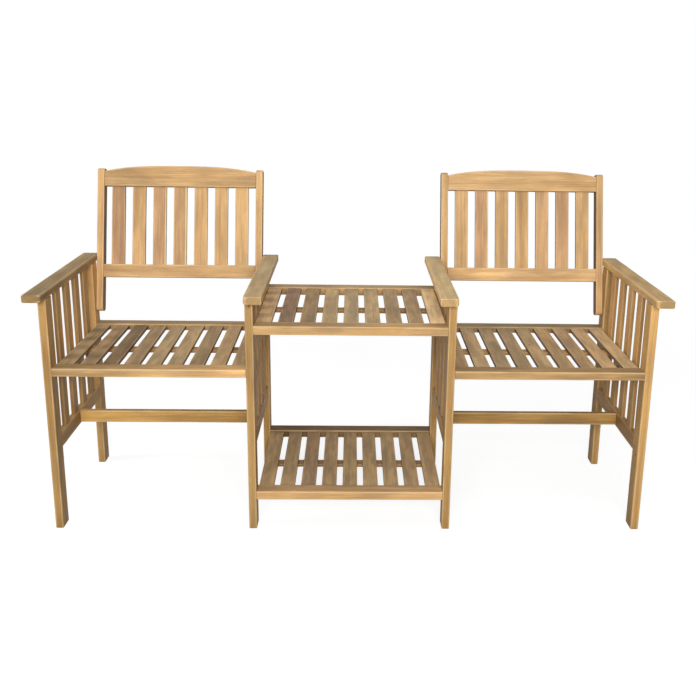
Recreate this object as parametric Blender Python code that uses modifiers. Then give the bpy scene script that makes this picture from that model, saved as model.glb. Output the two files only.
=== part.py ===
"""Slatted hardwood garden bench: two chairs joined by a two-tier side table.

Four side frames (two legs, a lower side rail, four slats and an armrest each) carry two seats,
a table top and a shelf between them. Each seat has a leaning back with an arched top rail.
X runs along the bench, Y from front to back, Z up. The origin lies on the ground, under the
middle of the bench's overall box. All lengths are in metres.
"""
import math

import bmesh
import bpy
from mathutils import Vector

# Overall sizes and stock
overall_width = 1.600
side_depth = 0.486
table_bay = 0.4904
leg_thickness = 0.0205
leg_depth = 0.048
foot_chamfer = 0.003
board_ease = 0.002
slat_ease = 0.0015
fit_gap = 0.0003
cut_overrun = 0.004

# Heights of the tops above the ground
arm_top = 0.640
table_top = 0.557
seat_top = 0.4415
shelf_top = 0.107

# Armrests
arm_width = 0.046
arm_thickness = 0.020
arm_front_overhang = 0.038
arm_corner_radius = 0.008
arm_corner_segments = 4
arm_corner_profile_share = 0.5
arm_edge_radius = 0.003
arm_edge_segments = 2

# Flat rails and slats of the seats, the table top and the shelf. A bay holds as many slats as
# fit with about the usual gap, spread evenly, and they lie a little lower than the rails' tops.
rail_depth = 0.0445
seat_front_rail_thickness = 0.0212
seat_rear_rail_thickness = 0.0185
table_rail_thickness = 0.0228
slat_width = 0.0395
slat_thickness = 0.010
slat_margin = 0.0022
seat_slat_set_down = 0.0028
table_slat_set_down = 0.0018
shelf_slat_set_down = 0.0055
usual_slat_gap = 0.016
batten_width = 0.033
batten_thickness = 0.009
batten_front = 0.2175
batten_end_inset = 0.005
batten_let_in = 0.001
batten_ease = 0.0005

# Lower side rails, side slats and stretchers
side_rail_bottom = 0.2125
side_rail_height = 0.040
side_rail_thickness = 0.016
side_slat_width = 0.0395
side_slat_thickness = 0.010
side_slat_inset = 0.0035
side_slat_let_in = 0.002
side_slat_count = 4
stretcher_bottom = 0.2165
stretcher_height = 0.034
stretcher_thickness = 0.017
stretcher_front = 0.2175

# Leaning backs: the foot is the lower front corner of a post, from the legs' rear and the ground
back_lean = math.radians(16.7)
post_foot_inset = 0.040
post_foot_height = 0.4803
post_length = 0.424
post_depth = 0.033
post_end_radius = 0.012
post_end_steps = 4
back_rail_thickness = 0.020
bottom_rail_rise = 0.1003
bottom_rail_height = 0.0382
top_rail_rise = 0.3703
top_rail_end_height = 0.0447
top_rail_middle_height = 0.0614
arch_power = 3
arch_points = 17
back_slat_width = 0.039
back_slat_thickness = 0.010
back_slat_count = 7

# Tenons: length, then how far the shoulders and the cheeks are cut back
slat_tenon_length = 0.010
slat_tenon_shoulder = 0.003
slat_tenon_cheek = 0.002
rail_tenon_length = 0.010
rail_tenon_shoulder = 0.006
rail_tenon_cheek = 0.004
stretcher_tenon_length = 0.008
leg_tenon_length = 0.012
leg_tenon_shoulder = 0.008
leg_tenon_cheek = 0.005

# Bolts of the leaning backs
bolt_radius = 0.003
bolt_head_radius = 0.0055
bolt_head_height = 0.003
bolt_head_crown = 0.001
bolt_reach = 0.015
bolt_sides = 16
bolt_weld = 0.00001
socket_radius = 0.0023
socket_depth = 0.002
socket_sides = 6
leg_bolt_rise = 0.0185
leg_bolt_set_back = 0.017
arm_bolt_set_back = 0.0092
arm_bolt_end_distance = 0.018
counterbore_radius = 0.0065
counterbore_depth = 0.020
hole_sides = 16

# Colours of the boards, as red, green, blue
amber = (0.56, 0.35, 0.17)
honey = (0.61, 0.41, 0.21)
russet = (0.50, 0.29, 0.16)
umber = (0.42, 0.29, 0.16)
steel = (0.55, 0.55, 0.55)

# Places worked out from the sizes above
lean_sine = math.sin(back_lean)
lean_cosine = math.cos(back_lean)
back_reach = side_depth - post_foot_inset + post_length * lean_sine + post_depth * lean_cosine
corner_relief = post_end_radius * (lean_sine + lean_cosine - 1)
overall_depth = arm_front_overhang + back_reach - corner_relief
front_plane = arm_front_overhang - overall_depth / 2
rear_plane = front_plane + side_depth
arm_underside = arm_top - arm_thickness
table_face = table_bay / 2
inner_seat_face = table_face + leg_thickness
outer_seat_face = overall_width / 2 - arm_width
side_slat_gap = (side_depth - 2 * leg_depth - side_slat_count * side_slat_width) / (side_slat_count + 1)
side_slat_pitch = side_slat_gap + side_slat_width
post_foot = Vector((0, rear_plane - post_foot_inset, post_foot_height))
slat_tenon = (slat_tenon_length, slat_tenon_shoulder, slat_tenon_cheek)
rail_tenon = (rail_tenon_length, rail_tenon_shoulder, rail_tenon_cheek)
stretcher_tenon = (stretcher_tenon_length, rail_tenon_shoulder, rail_tenon_cheek)


def clear_scene():
    for item in list(bpy.data.objects):
        bpy.data.objects.remove(item, do_unlink=True)


def new_collection(name):
    collection = bpy.data.collections.new(name)
    bpy.context.scene.collection.children.link(collection)
    return collection


def new_material(name, colour, roughness, metallic=0.0):
    material = bpy.data.materials.new(name)
    material.use_nodes = True
    shader = material.node_tree.nodes["Principled BSDF"]
    shader.inputs["Base Color"].default_value = (*colour, 1.0)
    shader.inputs["Roughness"].default_value = roughness
    shader.inputs["Metallic"].default_value = metallic
    material.diffuse_color = (*colour, 1.0)
    return material


def new_object(name, mesh, collection):
    item = bpy.data.objects.new(name, mesh)
    collection.objects.link(item)
    return item


def mesh_from(name, shape):
    bmesh.ops.recalc_face_normals(shape, faces=shape.faces)
    mesh = bpy.data.meshes.new(name)
    shape.to_mesh(mesh)
    shape.free()
    return mesh


def add_box(shape, low, high):
    """Adds a box between its low corner and its high corner."""
    low, high = Vector(low), Vector(high)
    made = bmesh.ops.create_cube(shape, size=1)
    bmesh.ops.scale(shape, vec=high - low, verts=made["verts"])
    bmesh.ops.translate(shape, vec=(low + high) / 2, verts=made["verts"])


def add_rod(shape, start, end, radius, sides):
    """Adds a round bar between two points."""
    start, end = Vector(start), Vector(end)
    made = bmesh.ops.create_cone(
        shape, cap_ends=True, segments=sides, radius1=radius, radius2=radius, depth=(end - start).length
    )
    turn = (end - start).to_track_quat("Z", "Y").to_matrix()
    bmesh.ops.rotate(shape, matrix=turn, verts=made["verts"])
    bmesh.ops.translate(shape, vec=(start + end) / 2, verts=made["verts"])


def boxes_mesh(name, boxes):
    shape = bmesh.new()
    for low, high in boxes:
        add_box(shape, low, high)
    return mesh_from(name, shape)


def helper(name, mesh, parent=None):
    """A cutting or joining body: drawn as wire and left out of the finished part."""
    item = new_object(name, mesh, cutters)
    item.display_type = "WIRE"
    item.hide_render = True
    item.parent = parent
    return item


def combine(item, other, operation):
    change = item.modifiers.new(operation.title(), "BOOLEAN")
    change.operation = operation
    change.solver = "EXACT"
    change.object = other


def ease_edges(item, width, segments=1):
    bevel = item.modifiers.new("Eased edges", "BEVEL")
    bevel.width = width
    bevel.segments = segments
    bevel.limit_method = "ANGLE"


def finish(item, tone, parent=None):
    """Gives a piece its own material and, for a leaning piece, its parent."""
    item.data.materials.clear()
    item.data.materials.append(new_material("wood " + item.name, tone, roughness=0.6))
    item.parent = parent


def join_tenons(item, tenons, parent=None):
    mesh = boxes_mesh("tenons", tenons)
    combine(item, helper(item.name + " tenons", mesh, parent), "UNION")


def cut_pockets(item, tenons, parent=None):
    """Cuts a mortise round each tenon, with the fitting gap on every side."""
    gap = Vector((fit_gap, fit_gap, fit_gap))
    mesh = boxes_mesh("pockets", [(Vector(low) - gap, Vector(high) + gap) for low, high in tenons])
    combine(item, helper(item.name + " pockets", mesh, parent), "DIFFERENCE")


def drill(item, holes, radius=bolt_radius + fit_gap):
    """Bores a round hole between each pair of points."""
    shape = bmesh.new()
    for start, end in holes:
        add_rod(shape, start, end, radius, hole_sides)
    combine(item, helper(item.name + " holes", mesh_from("holes", shape)), "DIFFERENCE")


def board(name, low, high, tone, tenons=(), pockets=(), ease=board_ease, parent=None):
    """A sawn board with eased edges, tenons joined on, then pockets cut in."""
    item = new_object(name, boxes_mesh(name, [(low, high)]), pieces)
    ease_edges(item, ease)
    finish(item, tone, parent)
    if tenons:
        join_tenons(item, tenons, parent)
    if pockets:
        cut_pockets(item, pockets, parent)
    return item


def join_slats(item, box, core, count, step):
    """Joins a row of equal tenoned slats to the board that ties them together."""
    row = helper(item.name + " row", boxes_mesh("slat", [box]))
    ease_edges(row, slat_ease)
    join_tenons(row, [core])
    array = row.modifiers.new("Row", "ARRAY")
    array.count = count
    array.use_relative_offset = False
    array.use_constant_offset = True
    array.constant_offset_displace = step
    combine(item, row, "UNION")


def slat_starts(bay_low, bay_high, width, count, margin):
    """The low edge of each slat in an evenly spaced row, with a margin at both ends of its bay."""
    pitch = (bay_high - bay_low - 2 * margin - width) / (count - 1)
    return [bay_low + margin + k * pitch for k in range(count)]


def core_of(box, axis, shoulder_axis, cheek_axis, tenon):
    """The tenon stock of a board: thinner than the board, and longer at both ends of its axis."""
    length, shoulder, cheek = tenon
    change = Vector((0, 0, 0))
    change[axis] = -length
    change[shoulder_axis] = shoulder
    change[cheek_axis] = cheek
    return Vector(box[0]) + change, Vector(box[1]) - change


def profile_prism(name, outline, axis, start, thickness):
    """A flat outline of (first, second) coordinates across an axis, drawn out along that axis."""
    shape = bmesh.new()
    verts = []
    for first, second in outline:
        point = [first, second]
        point.insert(axis, start)
        verts.append(shape.verts.new(point))
    made = bmesh.ops.extrude_face_region(shape, geom=[shape.faces.new(verts)])
    shift = Vector((0, 0, 0))
    shift[axis] = thickness
    moved = [part for part in made["geom"] if isinstance(part, bmesh.types.BMVert)]
    bmesh.ops.translate(shape, vec=shift, verts=moved)
    return mesh_from(name, shape)


# Side frames

def frame_x(face, seat_side, inset, thickness):
    """X range of a piece set in from the side frame's seat-side face."""
    return sorted((face - seat_side * inset, face - seat_side * (inset + thickness)))


def side_rail_box(face, seat_side):
    x_low, x_high = frame_x(face, seat_side, fit_gap, side_rail_thickness)
    low = (x_low, front_plane + leg_depth + fit_gap, side_rail_bottom)
    high = (x_high, rear_plane - leg_depth - fit_gap, side_rail_bottom + side_rail_height)
    return low, high


def side_rail_core(face, seat_side):
    return core_of(side_rail_box(face, seat_side), 1, 2, 0, rail_tenon)


def side_slat_boxes(face, seat_side):
    x_low, x_high = frame_x(face, seat_side, side_slat_inset, side_slat_thickness)
    first = front_plane + leg_depth + side_slat_gap
    z_low = side_rail_bottom + side_rail_height - side_slat_let_in
    z_high = arm_underside - fit_gap
    starts = [first + k * side_slat_pitch for k in range(side_slat_count)]
    return [((x_low, y, z_low), (x_high, y + side_slat_width, z_high)) for y in starts]


def side_slat_cores(face, seat_side):
    return [core_of(box, 2, 1, 0, slat_tenon) for box in side_slat_boxes(face, seat_side)]


def leg_box(face, seat_side, rear):
    x_low, x_high = frame_x(face, seat_side, 0, leg_thickness)
    y_low = rear_plane - leg_depth if rear else front_plane
    return (x_low, y_low, 0), (x_high, y_low + leg_depth, arm_underside - fit_gap)


def leg_tenon(face, seat_side, rear):
    """The tenon on top of a leg, begun inside the leg."""
    low, high = leg_box(face, seat_side, rear)
    start = (low[0] + leg_tenon_cheek, low[1] + leg_tenon_shoulder, high[2] - leg_tenon_length)
    return start, (high[0] - leg_tenon_cheek, high[1] - leg_tenon_shoulder, high[2] + leg_tenon_length)


def make_leg(name, face, seat_side, rear, levels, tone):
    """A leg with a chamfered foot, a tenon for the armrest and mortises for the rails it carries."""
    low, high = leg_box(face, seat_side, rear)
    shape = bmesh.new()
    add_box(shape, low, high)
    ground = [edge for edge in shape.edges if all(vert.co.z == low[2] for vert in edge.verts)]
    bmesh.ops.bevel(shape, geom=ground, offset=foot_chamfer, segments=1, affect="EDGES")
    leg = new_object(name, mesh_from(name, shape), pieces)
    ease_edges(leg, board_ease)
    finish(leg, tone)
    join_tenons(leg, [leg_tenon(face, seat_side, rear)])
    rails = [level_rail_core(level, rear) for level in levels]
    cut_pockets(leg, [side_rail_core(face, seat_side)] + rails)
    if rear:
        y, z = leg_bolt_place()
        far = face - seat_side * (leg_thickness + cut_overrun)
        drill(leg, [((face + seat_side * cut_overrun, y, z), (far, y, z))])


def make_armrest(name, face, seat_side, tone):
    """A board with rounded seat-side corners, mortised below. Its rear end takes the back's bolt."""
    y, z = arm_bolt_place()
    x_low, x_high = frame_x(face, seat_side, fit_gap, arm_width - fit_gap)
    low = (x_low, front_plane - arm_front_overhang, arm_underside)
    shape = bmesh.new()
    add_box(shape, low, (x_high, y + arm_bolt_end_distance, arm_top))
    upright = [edge for edge in shape.edges if edge.verts[0].co.z != edge.verts[1].co.z]
    middle = (x_low + x_high) / 2
    rounded = [edge for edge in upright if (edge.verts[0].co.x - middle) * seat_side > 0]
    bmesh.ops.bevel(
        shape, geom=rounded, offset=arm_corner_radius, segments=arm_corner_segments,
        profile=arm_corner_profile_share, affect="EDGES",
    )
    armrest = new_object(name, mesh_from(name, shape), pieces)
    ease_edges(armrest, arm_edge_radius, arm_edge_segments)
    finish(armrest, tone)
    tenons = [leg_tenon(face, seat_side, rear) for rear in (False, True)]
    cut_pockets(armrest, tenons + side_slat_cores(face, seat_side))
    far = (face - seat_side * (arm_width + cut_overrun), y, z)
    seat = (face - seat_side * (arm_width - counterbore_depth), y, z)
    drill(armrest, [((face + seat_side * cut_overrun, y, z), far)])
    drill(armrest, [(seat, far)], counterbore_radius)


def make_side_panel(name, face, seat_side, bay, tone):
    """The lower side rail and its four slats: tenons go into the legs and up into the armrest."""
    panel = board(name, *side_rail_box(face, seat_side), tone, tenons=[side_rail_core(face, seat_side)])
    box = side_slat_boxes(face, seat_side)[0]
    core = side_slat_cores(face, seat_side)[0]
    join_slats(panel, box, core, side_slat_count, (0, side_slat_pitch, 0))
    cut_pockets(panel, [stretcher_core(bay)])


def make_side_frame(place, face, seat_side, seat_bay, levels, tones):
    make_leg(f"leg_front_{place}", face, seat_side, False, levels, tones[0])
    make_leg(f"leg_rear_{place}", face, seat_side, True, levels, tones[1])
    make_armrest(f"armrest_{place}", face, seat_side, tones[2])
    make_side_panel(f"side_panel_{place}", face, seat_side, seat_bay, tones[3])


def stretcher_box(bay):
    y_low = front_plane + stretcher_front
    low = (bay[0] + fit_gap, y_low, stretcher_bottom)
    return low, (bay[1] - fit_gap, y_low + stretcher_thickness, stretcher_bottom + stretcher_height)


def stretcher_core(bay):
    return core_of(stretcher_box(bay), 0, 2, 1, stretcher_tenon)


# Slatted levels: the seats, the table top and the shelf. A level is a bay, the height of its top,
# the thicknesses of its front and rear rail, and how far its slats lie below its top.

def level_slats(level):
    """The boxes of the slats that fill a level's bay, and the tenon stock of each."""
    bay, top, _, set_down = level
    y_low = front_plane + rail_depth + fit_gap
    y_high = rear_plane - rail_depth - fit_gap
    row = bay[1] - bay[0] - 2 * slat_margin
    count = round((row + usual_slat_gap) / (slat_width + usual_slat_gap))
    starts = slat_starts(*bay, slat_width, count, slat_margin)
    z_high = top - set_down
    z_low = z_high - slat_thickness
    boxes = [((x, y_low, z_low), (x + slat_width, y_high, z_high)) for x in starts]
    return boxes, [core_of(box, 1, 0, 2, slat_tenon) for box in boxes]


def level_rail_box(level, rear):
    bay, top, thicknesses, _ = level
    y_low = rear_plane - rail_depth if rear else front_plane
    low = (bay[0] + fit_gap, y_low, top - thicknesses[rear])
    return low, (bay[1] - fit_gap, y_low + rail_depth, top)


def level_rail_core(level, rear):
    return core_of(level_rail_box(level, rear), 0, 1, 2, rail_tenon)


def make_level(name, level, tones):
    """Two flat rails between four legs, with a panel of slats tenoned into both."""
    boxes, cores = level_slats(level)
    for end, rear, tone in (("front", False, tones[0]), ("rear", True, tones[1])):
        core = level_rail_core(level, rear)
        board(f"{name}_{end}_rail", *level_rail_box(level, rear), tone, tenons=[core], pockets=cores)
    y_low = front_plane + batten_front
    z_high = boxes[0][0][2] + batten_let_in
    low = (boxes[0][0][0] + batten_end_inset, y_low, z_high - batten_thickness)
    high = (boxes[-1][1][0] - batten_end_inset, y_low + batten_width, z_high)
    panel = board(f"{name}_slats", low, high, tones[2], ease=batten_ease)
    pitch = boxes[1][0][0] - boxes[0][0][0]
    join_slats(panel, boxes[0], cores[0], len(boxes), (pitch, 0, 0))


# Leaning backs, drawn upright from the foot of a post and tilted by their parent

def on_post(rise, set_back):
    """Y and Z of a place on a post: how far it is up from the foot and back from the front face."""
    y = post_foot.y + rise * lean_sine + set_back * lean_cosine
    return y, post_foot.z + rise * lean_cosine - set_back * lean_sine


def leg_bolt_place():
    """The bolt that holds the foot of a post to the rear leg."""
    return on_post(leg_bolt_rise, leg_bolt_set_back)


def arm_bolt_place():
    """The bolt that holds a post to the armrest, at the middle of the armrest's thickness."""
    height = arm_top - arm_thickness / 2 - post_foot.z
    return on_post((height + arm_bolt_set_back * lean_sine) / lean_cosine, arm_bolt_set_back)


def arch(share):
    """Height of the top rail above its straight lower edge, at a share of its half length."""
    fall = top_rail_middle_height - top_rail_end_height
    return top_rail_middle_height - fall * abs(share) ** arch_power


def post_outline():
    """Side view of a post with all four corners rounded."""
    radius = post_end_radius
    centres = (
        (radius, radius, math.pi), (post_depth - radius, radius, 1.5 * math.pi),
        (post_depth - radius, post_length - radius, 0), (radius, post_length - radius, 0.5 * math.pi),
    )
    outline = []
    for y, z, start in centres:
        for step in range(post_end_steps + 1):
            angle = start + math.pi / 2 * step / post_end_steps
            outline.append((y + radius * math.cos(angle), z + radius * math.sin(angle)))
    return outline


def make_post(name, face, inward, cores, tone, lean):
    """A back post with rounded ends, mortised for both rails and bored for two bolts."""
    x_low = min(face + inward * fit_gap, face + inward * (fit_gap + leg_thickness))
    post = new_object(name, profile_prism("post", post_outline(), 0, x_low, leg_thickness), pieces)
    ease_edges(post, board_ease)
    finish(post, tone, lean)
    cut_pockets(post, cores, lean)
    start = face - inward * cut_overrun
    end = face + inward * (bolt_reach + fit_gap)
    drill(post, [((start, *place), (end, *place)) for place in (leg_bolt_place(), arm_bolt_place())])


def make_top_rail(name, ends, core, slat_cores, tone, lean):
    """The arched rail: straight below, and a curve that falls towards both ends above."""
    middle = sum(ends) / 2
    half = ends[1] - middle
    shares = [1 - 2 * k / (arch_points - 1) for k in range(arch_points)]
    outline = [(ends[0], top_rail_rise), (ends[1], top_rail_rise)]
    outline += [(middle + half * share, top_rail_rise + arch(share)) for share in shares]
    rail = new_object(name, profile_prism("rail", outline, 1, fit_gap, back_rail_thickness), pieces)
    ease_edges(rail, board_ease)
    finish(rail, tone, lean)
    join_tenons(rail, [core], lean)
    cut_pockets(rail, slat_cores, lean)


def make_back(side, bay, places, tones):
    """Two posts with an arched top rail, a bottom rail and seven slats between them."""
    lean = bpy.data.objects.new(f"{side}_back_lean", None)
    pieces.objects.link(lean)
    lean.location = post_foot
    lean.rotation_euler = (-back_lean, 0, 0)

    inner = (bay[0] + leg_thickness + fit_gap, bay[1] - leg_thickness - fit_gap)
    ends = (inner[0] + fit_gap, inner[1] - fit_gap)
    y_high = fit_gap + back_rail_thickness
    bottom_top = bottom_rail_rise + bottom_rail_height
    bottom = ((ends[0], fit_gap, bottom_rail_rise), (ends[1], y_high, bottom_top))
    top = ((ends[0], fit_gap, top_rail_rise), (ends[1], y_high, top_rail_rise + top_rail_end_height))
    bottom_core = core_of(bottom, 0, 2, 1, rail_tenon)
    top_core = core_of(top, 0, 2, 1, rail_tenon)

    gap = (inner[1] - inner[0] - back_slat_count * back_slat_width) / (back_slat_count + 1)
    y_low = fit_gap + (back_rail_thickness - back_slat_thickness) / 2
    low = (0, y_low, bottom_top + fit_gap)
    high = (back_slat_width, y_low + back_slat_thickness, top_rail_rise - fit_gap)
    shifts = [Vector((x, 0, 0)) for x in slat_starts(*inner, back_slat_width, back_slat_count, gap)]
    boxes = [(Vector(low) + shift, Vector(high) + shift) for shift in shifts]
    cores = [core_of(box, 2, 0, 1, slat_tenon) for box in boxes]

    for place, face, inward, tone in zip(places, bay, (1, -1), tones):
        make_post(f"{side}_back_post_{place}", face, inward, [bottom_core, top_core], tone, lean)
    board(f"{side}_back_bottom_rail", *bottom, tones[2], tenons=[bottom_core], pockets=cores, parent=lean)
    make_top_rail(f"{side}_back_top_rail", ends, top_core, cores, tones[3], lean)
    for number, (box, core) in enumerate(zip(boxes, cores), start=1):
        board(f"{side}_back_slat_{number}", *box, tones[4], tenons=[core], ease=slat_ease, parent=lean)


# Bolts

def make_bolt(name, place, outward, length):
    """A turned bolt with a low round head and a six-sided socket, placed by the seat of its head."""
    profile = (
        (0, bolt_head_height), (bolt_head_radius - bolt_head_crown, bolt_head_height),
        (bolt_head_radius, bolt_head_height - bolt_head_crown), (bolt_head_radius, 0),
        (bolt_radius, 0), (bolt_radius, -length), (0, -length),
    )
    shape = bmesh.new()
    verts = [shape.verts.new((radius, 0, height)) for radius, height in profile]
    for first, second in zip(verts, verts[1:]):
        shape.edges.new((first, second))
    mesh = bpy.data.meshes.new(name)
    shape.to_mesh(mesh)
    shape.free()
    bolt = new_object(name, mesh, pieces)
    mesh.materials.append(new_material("steel " + name, steel, roughness=0.35, metallic=1.0))
    bolt.location = place
    bolt.rotation_euler = (0, math.copysign(math.pi / 2, outward), 0)
    screw = bolt.modifiers.new("Turned", "SCREW")
    screw.steps = bolt_sides
    screw.render_steps = bolt_sides
    screw.use_merge_vertices = True
    screw.merge_threshold = bolt_weld
    screw.use_normal_calculate = True
    shape = bmesh.new()
    top = (0, 0, bolt_head_height + cut_overrun)
    add_rod(shape, (0, 0, bolt_head_height - socket_depth), top, socket_radius, socket_sides)
    combine(bolt, helper(name + " socket", mesh_from("socket", shape), bolt), "DIFFERENCE")


def make_post_bolts(place, face, seat_side):
    """One bolt through the rear leg and one sunk in the armrest's edge, both into the post."""
    for name, grip, (y, z) in (
        (f"leg_post_bolt_{place}", leg_thickness, leg_bolt_place()),
        (f"arm_post_bolt_{place}", arm_width - counterbore_depth, arm_bolt_place()),
    ):
        head = (face - seat_side * (grip + fit_gap), y, z)
        make_bolt(name, head, -seat_side, grip + fit_gap + bolt_reach)


clear_scene()
pieces = new_collection("Garden bench with side table")
cutters = new_collection("Cutters")

left_bay = (-outer_seat_face, -inner_seat_face)
right_bay = (inner_seat_face, outer_seat_face)
middle_bay = (-table_face, table_face)
seat_rail_thicknesses = (seat_front_rail_thickness, seat_rear_rail_thickness)
table_rail_thicknesses = (table_rail_thickness, table_rail_thickness)
left_seat = (left_bay, seat_top, seat_rail_thicknesses, seat_slat_set_down)
right_seat = (right_bay, seat_top, seat_rail_thicknesses, seat_slat_set_down)
table = (middle_bay, table_top, table_rail_thicknesses, table_slat_set_down)
shelf = (middle_bay, shelf_top, table_rail_thicknesses, shelf_slat_set_down)

frames = (
    ("outer_left", left_bay, 1, (left_seat,), (amber, russet, umber, russet)),
    ("inner_left", left_bay, -1, (left_seat, table, shelf), (honey, amber, umber, russet)),
    ("inner_right", right_bay, 1, (right_seat, table, shelf), (amber, russet, umber, russet)),
    ("outer_right", right_bay, -1, (right_seat,), (honey, amber, umber, amber)),
)
for place, bay, seat_side, levels, tones in frames:
    face = bay[0] if seat_side > 0 else bay[1]
    make_side_frame(place, face, seat_side, bay, levels, tones)
    make_post_bolts(place, face, seat_side)

make_level("left_seat", left_seat, (honey, umber, umber))
make_level("right_seat", right_seat, (honey, umber, umber))
make_level("table", table, (amber, umber, umber))
make_level("shelf", shelf, (amber, umber, umber))
make_back("left", left_bay, ("outer", "inner"), (honey, honey, amber, honey, amber))
make_back("right", right_bay, ("inner", "outer"), (honey, honey, amber, honey, amber))
for side, bay in (("left", left_bay), ("right", right_bay)):
    board(f"{side}_stretcher", *stretcher_box(bay), amber, tenons=[stretcher_core(bay)])
bpy.context.view_layer.update()
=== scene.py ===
"""Slatted hardwood garden bench: two chairs joined by a two-tier side table, in a white studio.

Every board is a rounded section carried along its length, with its own grain. Lengths are in
metres, X runs along the bench, Y from front to back and Z up.
"""
import math
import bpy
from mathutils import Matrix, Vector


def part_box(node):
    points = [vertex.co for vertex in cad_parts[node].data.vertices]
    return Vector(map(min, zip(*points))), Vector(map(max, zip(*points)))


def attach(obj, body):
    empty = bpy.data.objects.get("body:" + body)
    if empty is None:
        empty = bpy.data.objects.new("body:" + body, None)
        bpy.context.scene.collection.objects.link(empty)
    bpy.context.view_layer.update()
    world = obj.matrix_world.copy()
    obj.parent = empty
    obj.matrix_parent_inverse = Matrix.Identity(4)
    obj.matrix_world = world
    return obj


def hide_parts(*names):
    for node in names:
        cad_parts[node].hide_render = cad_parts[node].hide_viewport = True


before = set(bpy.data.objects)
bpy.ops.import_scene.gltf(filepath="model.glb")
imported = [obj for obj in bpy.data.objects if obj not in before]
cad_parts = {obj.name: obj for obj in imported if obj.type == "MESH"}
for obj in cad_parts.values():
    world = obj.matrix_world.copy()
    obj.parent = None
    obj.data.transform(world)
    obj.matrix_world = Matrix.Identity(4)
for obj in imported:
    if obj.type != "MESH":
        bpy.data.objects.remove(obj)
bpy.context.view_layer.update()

import zlib

import bpy
import numpy as np
from bpy.props import FloatProperty, FloatVectorProperty, IntProperty, PointerProperty
from mathutils import Matrix, Vector

bl_info = {
    "name": "Slatted garden bench",
    "version": (1, 0, 0),
    "blender": (4, 5, 0),
    "location": "3D View > Sidebar > Bench",
    "description": "Builds a slatted hardwood bench with a side table, its fittings and a white studio",
    "category": "Add Mesh",
}

PLACES = ("outer_left", "inner_left", "inner_right", "outer_right")
LEVELS = ("left_seat", "right_seat", "table", "shelf")

CORNER_STEPS = 4  # faces round one edge of a board
END_STEPS = 8  # stations over a rounded end
TURN_STEPS = 36  # sides of a turned ring
FLOOR_STEPS = 96  # sides of the round floor
SPACING = 0.03  # about how far apart a board's stations are
FLAT = 0.0025  # how far past an edge a face has one point more, at most
EDGE_LIMIT = 0.48  # largest edge radius, as a share of half a board's thickness
RIM = 0.0015  # how far an end cap's outline lies inside the board's
CENTRE = 0.0001  # radius of the ring that closes a turned piece at its axis
FRAME_PIXELS = 696  # width of the frame that the camera was fitted in
SENSOR = 36  # width of the camera's sensor, in millimetres

# Radius and height of a head, and radius and depth of its socket
RAIL_BOLT = (0.0055, 0.0025, 0.0023, 0.0015)
SCREW = (0.0040, 0.0010, 0.0016, 0.0008)
POST_BOLT_SOCKET = (0.0023, 0.002)

# Profiles of turned pieces: radius, height and share of a hexagon
RAIL_BOLT_SHANK = ((CENTRE, -0.001, 0), (0.003, -0.001, 0))
SCREW_SHANK = ((CENTRE, -0.001, 0), (0.002, -0.001, 0))
PLUG = (
    (CENTRE, -0.003, 0), (0.0064, -0.003, 0), (0.0064, 0.00002, 0), (0.0062, 0.00005, 0), (CENTRE, 0.00005, 0),
)
BARREL_NUT = (
    (CENTRE, -0.001, 0), (0.0050, -0.001, 0), (0.0050, 0.0003, 0), (0.0047, 0.0006, 0), (0.0022, 0.0006, 0),
    (0.0020, -0.0004, 0), (CENTRE, -0.0004, 0),
)

# Lightness, rosiness and greyness of the boards of a row, in order. None leaves a board to chance
ROW_TONES = {
    "left_back_slat": (
        (-0.6, 0.7, 0), (0.05, -0.3, 0), (0.05, 0.6, 0), (0, 0.45, 0),
        (-0.15, -0.1, 0.3), (0.45, 0.05, 0), (0.6, -0.1, 0),
    ),
    "right_back_slat": (
        (0.1, -0.1, 0), (-0.1, 0.65, 0), (0.25, 0.1, 0), (0.05, -0.35, 0),
        (0, 0.35, 0), (-0.15, 0.55, 0), (0.2, 0.05, 0),
    ),
    "side_slat_outer_right": ((1.6, 0, 0.3), (1.4, 0.2, 0.2), (1.2, -0.2, 0.3), (1.6, 0.3, 0.2)),
    "left_seat_slat": (
        (-1.2, 0, 0.5), (-1.5, 0.3, -0.4), (-3.7, 0.3, -0.5), (-1, 0.2, 0), (0.8, 0.1, 1),
        (0, 0, 0.6), (-1.8, 0, 0.3), (1, -0.2, 0.3), (0.4, 0, 0.3),
    ),
    "right_seat_slat": (
        None, (1.4, 0, 0.9), (0.2, 0.2, 0.9), (-0.2, 0.4, 0.6), (0.6, 0.2, 0.1),
        (0.2, -0.2, -0.6), (-0.4, -0.1, -0.7), (2.2, 0.2, 0), (3.9, 0.2, 0.8),
    ),
    # The ninth table slat's very high lightness is painted light
    "table_slat": (
        (2, 0.3, 0.2), (-2.4, 0.9, -0.7), (-1.8, 0.1, -0.6), (1.6, -0.1, 0.3), (0.3, 0.1, 0.9),
        (0.4, 0, 0.6), (-1.4, 0.2, 0.4), (-1.5, 0.1, -0.1), (11.5, 0.1, 1.8),
    ),
    # The shelf slats' raised lightness is partly painted light, making up for the shade that the table top casts on
    # them
    "shelf_slat": (
        (0.8, 0, 0.2), (0.9, 0.1, 0.5), (-0.4, 0.5, 0), (0.8, 0.2, 0), (0.6, 0, 0.2),
        (1.2, -0.4, 0.2), (1.6, -0.1, 0.2), (1, 0.3, 0.4), (3.9, 0, 0.3),
    ),
}
TONES = {
    f"{row}_{number}": tone
    for row, tones in ROW_TONES.items() for number, tone in enumerate(tones, start=1) if tone
}

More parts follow.
